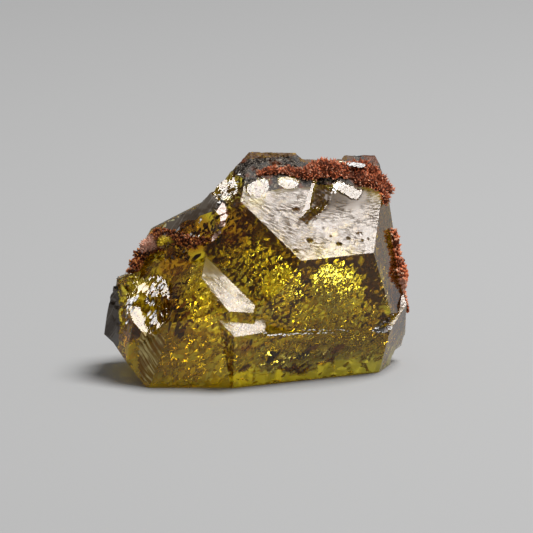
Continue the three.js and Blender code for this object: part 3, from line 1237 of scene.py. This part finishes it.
    def _treads(self, points: Points, amount: Points, patch: Points) -> Points:
        """Cut growth treads, which look the terminal's way, into a broken place.

        Args:
            points: Places on the skin.
            amount: How fully each place is cut, 0 to 1.
            patch: 1 where one broad, plain tread takes the place of the narrow ones.

        Returns:
            The places moved.
        """
        up = np.array(TERMINAL)
        own = strips(points, RUN_OFF, *self.tread, 7)
        level = (points @ up + np.einsum("ij,ij->i", points, 0.16 * (own - 0.5))) / self.pitch
        level = level + own[:, 0]
        fall = (level - np.floor(level)) * self.pitch
        off = np.clip((points - self.bright_patch.middle) @ up, -0.12, 0.3)
        return points - (np.where(patch > 0.5, off, amount * fall))[:, None] * up

    def _slots(self, verts: Points, faces: Points) -> Points:
        """Pick the finish of each triangle.

        Args:
            verts: Places on the skin.
            faces: Three corner numbers a triangle.

        Returns:
            The number of each triangle's finish.
        """
        middle = verts[faces].mean(axis=1)
        _, flat = facing(verts, faces)
        ragged = 0.3 * chips(middle, 0.16, 12)
        slots = np.full(len(faces), Skin.CLEAR.value)
        for coat in self.coats:
            slots[coat.covers(middle, flat, ragged)] = coat.skin.value
        at, out = self.relief.flat(middle)
        slots[(self.relief.plated(at) > 0.5) & (np.abs(out) < 0.1)] = Skin.CLEAR.value
        return slots


def cast_points(mesh: bpy.types.Mesh, matrix: Matrix, spacing: float,
                rng: random.Random) -> list[tuple[Vector, Vector]]:
    """Scatter points over a mesh.

    Args:
        mesh: The mesh.
        matrix: Its place.
        spacing: The mean distance between points, in metres.
        rng: The source of chance.

    Returns:
        Points with their normals.
    """
    found = []
    turn = matrix.to_3x3()
    for face in mesh.polygons:
        corners = [matrix @ mesh.vertices[i].co for i in face.vertices]
        normal = (turn @ face.normal).normalized()
        for i in range(1, len(corners) - 1):
            a, b, c = corners[0], corners[i], corners[i + 1]
            area = (b - a).cross(c - a).length / 2.0
            count = area / spacing ** 2
            number = int(count) + (1 if rng.random() < count - int(count) else 0)
            for _ in range(number):
                s, t = rng.random(), rng.random()
                if s + t > 1.0:
                    s, t = 1.0 - s, 1.0 - t
                found.append((a + (b - a) * s + (c - a) * t, normal))
    return found


@dataclass
class Crust:
    """A crust of rust: a knobbly bed under loose grains and short blades."""

    node: str
    seed: int
    grain: float = 0.05 * MM
    spacing: float = 0.055 * MM
    tall: float = 1.0
    pale: Zone | None = None
    golden: Zone | None = None
    sides: int = 5
    sunk: float = 0.02 * MM
    mottle: float = 0.2 * MM

    def build(self, material: bpy.types.Material) -> bpy.types.Object:
        """Build the crust.

        Args:
            material: Its finish.

        Returns:
            The object.
        """
        rng = random.Random(self.seed)
        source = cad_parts[self.node]
        bm = plain_mesh(self.node)
        bmesh.ops.triangulate(bm, faces=bm.faces)
        tone = bm.verts.layers.float.new("tone")
        for vert in bm.verts:
            vert[tone] = 0.1 + 0.25 * noise.noise(vert.co / self.mottle)
        for vert in bm.verts:
            vert.co -= vert.normal * self.sunk
        for point, normal in cast_points(source.data, source.matrix_world, self.spacing, rng):
            self._grain(bm, tone, point, normal, rng)
        for vert in bm.verts:
            vert.co = Vector(clamp(value, low, high) for value, low, high
                             in zip(vert.co, CAD_LOW, CAD_HIGH))
        mesh = bpy.data.meshes.new(self.node + "_grains")
        bm.to_mesh(mesh)
        bm.free()
        self._paint(mesh)
        mesh.materials.append(material)
        return link(self.node + "_grains", mesh)

    def _paint(self, mesh: bpy.types.Mesh) -> None:
        """Mark the pale and the golden places on the mesh.

        Args:
            mesh: The crust's mesh.
        """
        places = np.array([(vert.co - DATUM) / MM for vert in mesh.vertices])
        for label, zone in (("pale", self.pale), ("golden", self.golden)):
            layer = mesh.attributes.new(label, "FLOAT", "POINT")
            weight = zone.weight(places) if zone else np.zeros(len(places))
            layer.data.foreach_set("value", weight.astype(np.float32))

    def _grain(self, bm: bmesh.types.BMesh, tone: bmesh.types.BMLayerItem, point: Vector,
               normal: Vector, rng: random.Random) -> None:
        """Add one grain or blade, standing more or less out of the bed.

        Args:
            bm: The crust's mesh.
            tone: The layer that holds the shade of each grain.
            point: Where the grain stands.
            normal: The bed's direction there.
            rng: The source of chance.
        """
        axis = (normal + drift(rng) * 0.45).normalized()
        size = self.grain * rng.uniform(0.55, 1.15)
        tall = size * rng.uniform(0.8, 2.2) * self.tall
        turned = axis.to_track_quat("Z", "Y").to_matrix()
        spin = rng.uniform(0.0, math.tau)
        shade = clamp(rng.gauss(0.62, 0.27))
        ring = []
        for k in range(self.sides):
            turn = spin + k * math.tau / self.sides
            wide = 0.5 * size / self.tall * rng.uniform(0.7, 1.1)
            ring.append(Vector((math.cos(turn) * wide, math.sin(turn) * wide,
                                tall * rng.uniform(0.1, 0.3))))
        foot, *rim, tip = [bm.verts.new(point + turned @ corner) for corner in
                           (Vector((0, 0, -0.4 * tall)), *ring, Vector((0, 0, 0.7 * tall)))]
        for vert in (foot, *rim, tip):
            vert[tone] = shade
        for near, far in zip(rim, rim[1:] + rim[:1]):
            bm.faces.new((foot, far, near))
            bm.faces.new((tip, near, far))


def skin_of(piece: bpy.types.Object) -> BVHTree:
    """Make a piece's surface ready for searching.

    Args:
        piece: The piece, which isn't turned or moved.

    Returns:
        Its surface.
    """
    mesh = piece.data
    return BVHTree.FromPolygons([vert.co for vert in mesh.vertices],
                                [tuple(face.vertices) for face in mesh.polygons])


def buried(skin: BVHTree, place: Vector, cover: float) -> bool:
    """Tell whether a point lies under a closed surface.

    Args:
        skin: The surface.
        place: The point.
        cover: How far under it the point must be, in metres.

    Returns:
        True where it does.
    """
    if skin.find_nearest(place)[3] < cover:
        return False
    up = Vector((0.0, 0.0, 1.0))
    crossed = 0
    hit = skin.ray_cast(place, up)[0]
    while hit is not None:
        crossed += 1
        hit = skin.ray_cast(hit + up * PAST, up)[0]
    return crossed % 2 == 1


@dataclass(frozen=True)
class Veil:
    """A healed fracture inside the crystal: a loose sheet of small flakes.

    Its place and sizes are in millimetres, and it faces a turn and a rise in degrees. The wander
    is how far its flakes lean from it.
    """

    middle: Place
    facing: tuple[float, float]
    half: Place
    count: int
    flake: float = 0.09
    wander: float = 0.35


@dataclass
class Fractures:
    """The flakes of one kind that glint or darken inside the crystal."""

    name: str
    seed: int
    veils: tuple[Veil, ...]
    sides: int = 6
    thin: float = 0.05
    cover: float = 0.05 * MM
    gap: float = 0.015 * MM

    def build(self, skin: BVHTree, material: bpy.types.Material) -> bpy.types.Object:
        """Build the flakes.

        Args:
            skin: The crystal's surface, which they stay inside.
            material: Their finish.

        Returns:
            The object.
        """
        rng = random.Random(self.seed)
        verts: list[Vector] = []
        faces: list[tuple[int, int, int]] = []
        tones: list[float] = []
        for veil in self.veils:
            normal = looking(*veil.facing)
            along = level_across(normal)
            upward = normal.cross(along)
            for _ in range(veil.count):
                reach = math.sqrt(rng.random())
                turn = rng.uniform(0.0, math.tau)
                place = spot(*veil.middle) + MM * (
                    along * (veil.half[0] * reach * math.cos(turn))
                    + upward * (veil.half[1] * reach * math.sin(turn))
                    + normal * (veil.half[2] * rng.gauss(0.0, 0.6)))
                corners = self._flake(place, normal, veil, rng)
                tone = rng.random()
                if not (buried(skin, place, self.cover)
                        and all(buried(skin, corner, self.gap) for corner in corners)):
                    continue
                first = len(verts)
                verts.extend(corners)
                tones.extend([tone] * len(corners))
                for k in range(self.sides):
                    j = (k + 1) % self.sides
                    faces.append((first + self.sides, first + j, first + k))
                    faces.append((first + self.sides + 1, first + k, first + j))
        made = mesh_from(self.name, np.array(verts), np.array(faces), tone=np.array(tones))
        made.data.shade_flat()
        made.data.materials.append(material)
        return made

    def _flake(self, place: Vector, normal: Vector, veil: Veil,
               rng: random.Random) -> list[Vector]:
        """Lay out one thin flake.

        Args:
            place: Its middle.
            normal: The veil's direction there.
            veil: The veil that it belongs to.
            rng: The source of chance.

        Returns:
            Its uneven rim, then the middles of its two faces.
        """
        axis = (normal + drift(rng) * veil.wander).normalized()
        turned = axis.to_track_quat("Z", "Y").to_matrix() @ Matrix.Rotation(
            rng.gauss(0.9, 0.35), 3, "Z")
        size = veil.flake * MM * rng.uniform(0.4, 1.3)
        slim = rng.uniform(0.22, 0.6)
        corners = []
        for k in range(self.sides):
            turn = (k + rng.uniform(-0.3, 0.3)) * math.tau / self.sides
            wide = size * rng.uniform(0.7, 1.1)
            corners.append(place + turned @ Vector((math.cos(turn) * wide,
                                                    math.sin(turn) * wide * slim, 0.0)))
        for side in (-1.0, 1.0):
            corners.append(place + turned @ Vector((0.0, 0.0, side * self.thin * size)))
        return corners


@dataclass(frozen=True)
class Splinters:
    """A row of glassy splinters on the crystal's skin, which look the terminal's way.

    Places and sizes are in millimetres. Slim is a splinter's height as a share of its length, and
    way is the direction that its length runs in.
    """

    ends: tuple[Place, Place]
    count: int
    size: float
    slim: float
    spread: float = 0.02
    wander: float = 0.04
    way: Place = (0.937, 0.35, 0.0)
    lift: float = 0.015


@dataclass
class SplinterRows:
    """The splinters and thin plates of one kind that stand on the skin."""

    name: str
    seed: int
    rows: tuple[Splinters, ...]
    sides: int = 6
    foot: float = 0.35

    def build(self, skin: BVHTree, material: bpy.types.Material) -> bpy.types.Object:
        """Build the splinters.

        Args:
            skin: The crystal's surface, which they stand on.
            material: Their finish.

        Returns:
            The object.
        """
        rng = random.Random(self.seed)
        verts: list[Vector] = []
        faces: list[tuple[int, int, int]] = []
        for row in self.rows:
            start, end = (spot(*place) for place in row.ends)
            for k in range(row.count):
                share = (k + rng.uniform(0.1, 0.9)) / row.count
                place = start.lerp(end, share) + drift(rng) * row.spread * MM
                near, out, _, _ = skin.find_nearest(place)
                first = len(verts)
                verts.extend(self._splinter(near + out * row.lift * MM, row, rng))
                for side in range(1, self.sides - 1):
                    faces.append((first, first + side, first + side + 1))
                for side in range(self.sides):
                    faces.append((first + self.sides, first + (side + 1) % self.sides, first + side))
        made = mesh_from(self.name, np.array(verts), np.array(faces))
        made.data.shade_flat()
        made.data.materials.append(material)
        return made

    def _splinter(self, place: Vector, row: Splinters, rng: random.Random) -> list[Vector]:
        """Lay out one splinter.

        Args:
            place: Its middle.
            row: The row that it belongs to.
            rng: The source of chance.

        Returns:
            The rim of its face, then the point that it stands on.
        """
        normal = (TERMINAL + drift(rng) * row.wander).normalized()
        along = Vector(row.way).normalized()
        wide = (along - along.dot(normal) * normal).normalized()
        high = normal.cross(wide)
        size = row.size * MM * rng.uniform(0.5, 1.2)
        corners = []
        for side in range(self.sides):
            turn = (side + rng.uniform(-0.3, 0.3)) * math.tau / self.sides
            reach = size * rng.uniform(0.65, 1.1)
            corners.append(place + wide * (math.cos(turn) * reach)
                           + high * (math.sin(turn) * reach * row.slim))
        return corners + [place - normal * self.foot * size]


SPLINTERS = (
    Splinters(((0.24, -0.23, 1.53), (0.85, 0.12, 1.47)), 16, 0.05, 0.5),
    Splinters(((0.85, 0.12, 1.47), (1.75, 0.57, 1.4)), 22, 0.045, 0.4),
    Splinters(((1.75, 0.57, 1.4), (2.45, 0.87, 1.36)), 14, 0.035, 0.4),
    Splinters(((3.15, 1.22, 1.28), (3.58, 1.48, 1.62)), 16, 0.07, 0.7, 0.04, 0.08),
    Splinters(((3.3, 1.3, 1.26), (3.6, 1.47, 1.35)), 16, 0.08, 0.8, 0.05, 0.08),
    Splinters(((2.5, 2.85, 5.4), (2.78, 2.9, 5.36)), 5, 0.15, 0.6, 0.03, 0.03, lift=0.16),
    Splinters(((-1.1, 1.6, 4.6), (-0.5, 2.1, 5.2)), 12, 0.09, 0.5, 0.12, 0.05),
    Splinters(((-2.55, 0.95, 2.75), (-2.8, 0.6, 2.1)), 20, 0.15, 0.22, 0.1, 0.06, RUN_OFF),
    Splinters(((-2.75, 0.55, 2.1), (-2.65, 0.3, 1.6)), 18, 0.15, 0.25, 0.07, 0.06, RUN_OFF),
    Splinters(((-3.3, 0.85, 2.3), (-3.4, 0.65, 1.6)), 20, 0.14, 0.25, 0.06, 0.06, RUN_OFF),
    Splinters(((-2.0, 1.25, 3.5), (-1.3, 1.5, 4.1)), 12, 0.1, 0.3, 0.1, 0.1, RUN_OFF),
    Splinters(((3.42, 1.36, 1.3), (3.6, 1.5, 1.5)), 18, 0.1, 0.8, 0.05, 0.1),
)
CREAM_PLATES = (
    Splinters(((-0.86, 1.15, 4.6), (-0.8, 1.1, 4.2)), 6, 0.32, 0.45, 0.02, 0.04, RUN_OFF, 0.03),
    Splinters(((-0.9, 1.08, 4.0), (-1.1, 1.0, 3.85)), 3, 0.22, 0.35, 0.02, 0.04, RUN_OFF, 0.03),
    Splinters(((-2.95, 1.6, 3.5), (-2.7, 1.5, 3.55)), 4, 0.12, 0.7, 0.04, 0.2, lift=0.05),
)
AMBERS = (
    Veil((-1.7, 0.2, 0.55), (0, 10), (1.2, 0.5, 0.06), 45, 0.16, 0.25),
    Veil((-1.7, 0.75, 0.72), (2, 45), (1.2, 0.95, 0.04), 260, 0.26, 0.1),
    Veil((-2.6, 0.7, 0.65), (-12, 45), (0.6, 0.8, 0.04), 80, 0.24, 0.1),
    Veil((-1.5, 1.5, 1.7), (14, 37), (1.1, 1.1, 0.3), 50, 0.2, 0.35),
    Veil((-2.6, 1.3, 3.0), (0, 30), (0.8, 0.7, 0.3), 50, 0.12, 0.5),
    Veil((-0.45, 1.7, 3.7), (9, 44), (0.5, 0.7, 0.3), 50, 0.08, 0.3),
    Veil((0.6, 0.7, 1.75), (15, 37), (0.5, 0.25, 0.15), 25, 0.07, 0.3),
    Veil((1.5, 0.75, 0.25), (22, 40), (2.0, 0.3, 0.08), 70, 0.12, 0.3),
    Veil((1.8, 1.17, 0.68), (21, 45), (2.1, 0.95, 0.05), 240, 0.25, 0.14),
)
GLINTS = (
    Veil((2.05, 1.4, 2.5), (21, 37), (0.75, 0.85, 0.2), 300, 0.09, 0.13),
    Veil((2.05, 1.7, 1.7), (21, 37), (1.3, 0.5, 0.4), 200, 0.09, 0.2),
    Veil((0.0, 1.2, 2.68), (9, 44), (0.95, 1.15, 0.3), 300, 0.08, 0.2),
    Veil((1.8, 1.13, 0.72), (21, 42), (2.1, 0.95, 0.05), 150, 0.15, 0.17),
    Veil((-1.7, 0.7, 0.72), (2, 43), (1.2, 0.9, 0.05), 70, 0.1, 0.2),
    Veil((-1.45, 1.0, 2.14), (14, 37), (0.75, 0.85, 0.3), 120, 0.08, 0.2),
    Veil((-0.3, 2.2, 2.6), (20, 37), (3.4, 2.4, 0.8), 900, 0.12, 0.3),
    Veil((1.2, 1.6, 1.4), (20, 37), (2.8, 1.4, 0.8), 500, 0.1, 0.3),
)
SPARKS = (
    Veil((2.05, 1.15, 2.5), (21, 37), (0.6, 0.75, 0.2), 260, 0.09, 0.12),
    Veil((1.95, 0.95, 2.85), (21, 37), (0.5, 0.3, 0.12), 110, 0.1, 0.1),
    Veil((0.97, 0.75, 2.56), (21, 37), (0.25, 0.85, 0.12), 110, 0.06, 0.12),
    Veil((2.05, 1.3, 1.7), (21, 37), (1.3, 0.4, 0.3), 140, 0.08, 0.16),
    Veil((3.45, 1.7, 2.39), (25, 36), (0.2, 1.0, 0.1), 110, 0.06, 0.14),
    Veil((0.0, 0.9, 2.68), (9, 44), (0.85, 1.05, 0.3), 260, 0.05, 0.16),
    Veil((1.8, 1.05, 0.8), (22, 40), (2.0, 0.85, 0.05), 600, 0.11, 0.22),
    Veil((1.85, 0.85, 0.7), (23, 42), (1.85, 0.5, 0.1), 110, 0.16, 0.15),
    Veil((3.1, 1.9, 0.6), (21, 37), (0.4, 0.3, 0.1), 70, 0.09, 0.12),
    Veil((-1.7, 0.6, 0.78), (6, 38), (1.15, 0.8, 0.06), 500, 0.09, 0.22),
    Veil((-2.6, 0.7, 0.7), (-12, 43), (0.5, 0.6, 0.3), 120, 0.08, 0.15),
    Veil((-1.7, 1.0, 2.2), (2, 42), (0.7, 0.8, 0.3), 160, 0.07, 0.16),
    Veil((-1.4, 0.8, 2.3), (14, 37), (0.6, 0.85, 0.2), 160, 0.06, 0.16),
)
# Dark brown flakes: partly real brown inclusions, partly painted shade where the crystal is made
# darker.
STAIN_AND_SHADE_VEILS = (
    Veil((-2.1, 0.5, 1.8), (-5, 5), (0.4, 0.4, 0.1), 36, 0.14),
    Veil((1.3, 0.7, 0.7), (20, 20), (1.5, 0.4, 0.1), 30, 0.2),
    Veil((-0.5, 1.2, 4.3), (9, 44), (0.35, 0.6, 0.1), 60, 0.1, 0.3),
    Veil((-1.9, 1.0, 2.0), (-15, 10), (0.5, 0.5, 0.3), 40, 0.16),
    Veil((-0.66, 1.7, 4.02), (-15, 25), (0.5, 0.65, 0.3), 60, 0.1),
    Veil((-0.4, 2.4, 4.9), (10, 30), (0.7, 0.6, 0.2), 110, 0.14),
    Veil((-1.8, 1.9, 3.6), (-15, 40), (0.8, 0.6, 0.2), 90, 0.14),
    Veil((-0.2, 0.6, 1.03), (10, 0), (0.55, 0.35, 0.2), 15, 0.09),
    Veil((3.7, 2.4, 1.5), (75, 0), (0.3, 1.1, 0.15), 40, 0.1),
)


@dataclass
class Studio:
    """The plain pale floor, the soft light and the camera."""

    rise: float = 12.5
    away: float = 180.0 * MM
    wide: float = 14.12 * MM
    aim: Place = (0.305, 1.74, 2.885)
    sensor: float = 36.0
    key_at: Place = (1.0, 1.5, 3.0)
    key_way: Place = (0.35, 0.04, 0.94)
    key_away: float = 150.0 * MM
    key_size: float = 78.0 * MM
    key_radiance: float = 17.9
    room: float = 0.2
    paper: float = 0.43
    paper_half: float = 2.0
    paper_gap: float = 0.002 * MM

    def build(self) -> None:
        """Build everything around the specimen."""
        self._floor()
        self._key()
        self._world()
        self._camera()
        bpy.context.scene.view_settings.view_transform = "Standard"

    def _floor(self) -> None:
        """Lay the floor."""
        mesh = bpy.data.meshes.new("floor")
        half = self.paper_half
        mesh.from_pydata([(-half, -half, 0), (half, -half, 0), (half, half, 0), (-half, half, 0)],
                         [], [(0, 1, 2, 3)])
        floor = link("floor", mesh)
        floor.location.z = -self.paper_gap
        material, graph, shader, _ = start_material("floor_paper")
        graph.put(shader, "Base Color", (self.paper, self.paper, self.paper, 1.0))
        graph.put(shader, "Roughness", 0.9)
        mesh.materials.append(material)

    def _key(self) -> None:
        """Hang the round softbox."""
        lamp = bpy.data.lights.new("softbox", "AREA")
        lamp.shape = "DISK"
        lamp.size = self.key_size
        lamp.energy = self.key_radiance * math.pi * math.pi * (self.key_size / 2.0) ** 2
        way = Vector(self.key_way).normalized()
        key = link("softbox", lamp)
        key.location = spot(*self.key_at) + way * self.key_away
        key.rotation_euler = way.to_track_quat("Z", "Y").to_euler()

    def _world(self) -> None:
        """Fill the room with a dim grey."""
        world = bpy.data.worlds.new("room")
        world.use_nodes = True
        back = world.node_tree.nodes["Background"]
        back.inputs["Color"].default_value = (1.0, 1.0, 1.0, 1.0)
        back.inputs["Strength"].default_value = self.room
        bpy.context.scene.world = world

    def _camera(self) -> None:
        """Set the camera where the photographer's stood."""
        data = bpy.data.cameras.new("camera")
        data.sensor_width = self.sensor
        data.lens = self.sensor * self.away / self.wide
        data.clip_start = 0.01
        data.clip_end = 10.0
        rise = math.radians(self.rise)
        back = Vector((0.0, -math.cos(rise), math.sin(rise)))
        camera = link("camera", data)
        camera.location = spot(*self.aim) + back * self.away
        camera.rotation_euler = back.to_track_quat("Z", "Y").to_euler()
        bpy.context.scene.camera = camera


def settle(piece: bpy.types.Object, slot: Slot, *nodes: str) -> None:
    """Tie a piece to the specimen.

    Args:
        piece: The piece.
        slot: The recolourable slot that it belongs to; not used.
        nodes: The plain nodes that it takes the place of.
    """
    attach(piece, "root")
    if nodes:
        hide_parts(*nodes)
    log.info("%s: %d faces", piece.name, len(piece.data.polygons))


def write_size() -> None:
    """Bring the scene up to date after the pieces were added."""
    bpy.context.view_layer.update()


def main() -> None:
    """Build the specimen and its studio."""
    logging.basicConfig(level=logging.INFO)
    effects = Effects()
    skins = [GemFinish().build(effects)]
    for finish in (ETCHED_RIM, SHADED_GLASSY_SKIN, FEATHERED_FACET, GOLDEN_CREST):
        skins.append(finish.build(effects))
    crystal = Crystal().build(skins)
    settle(crystal, Slot.GEM, "crystal")
    rust = RustFinish().build(effects)
    wet = WET_RUST.build(effects)
    ochre = OCHRE_CRUST.build(effects)
    crusts = (
        (rust, Crust("ridge_crust", 3, tall=1.35)),
        (wet, Crust("shoulder_crust", 5, 0.055 * MM, tall=0.9,
                    pale=Zone((-2.85, 1.8, 3.5), (0.35, 0.6, 0.25)),
                    golden=Zone((-2.4, 1.4, 3.6), (0.22, 0.4, 0.2)))),
        (rust, Crust("side_crust", 7, 0.07 * MM, 0.07 * MM, 0.75,
                     pale=Zone((3.8, 2.4, 2.2), (0.5, 0.6, 0.35), 0.9))),
        (ochre, Crust("back_crust", 9, 0.085 * MM, 0.075 * MM)),
        (ochre, Crust("lobe_crust", 11, 0.085 * MM, 0.075 * MM)))
    for finish, crust in crusts:
        settle(crust.build(finish), Slot.RUST, crust.node)
    skin = skin_of(crystal)
    for name, seed, veils, finish in (
            ("glint_veils", 21, GLINTS, GLINT_FINISH), ("spark_veils", 24, SPARKS, SPARK_FINISH),
            ("amber_veils", 23, AMBERS, AMBER_FINISH), ("stain_and_shade_veils", 22, STAIN_AND_SHADE_VEILS, STAIN_AND_SHADE_FINISH)):
        settle(Fractures(name, seed, veils).build(skin, finish.build()), Slot.GEM)
    for name, seed, rows, finish in (
            ("glassy_splinters", 31, SPLINTERS, GLASSY_CHIP),
            ("cream_plates", 32, CREAM_PLATES, CREAM_FACET)):
        settle(SplinterRows(name, seed, rows).build(skin, finish.build(effects)), Slot.GEM)
    Studio().build()
    write_size()


if __name__ == "__main__":
    main()
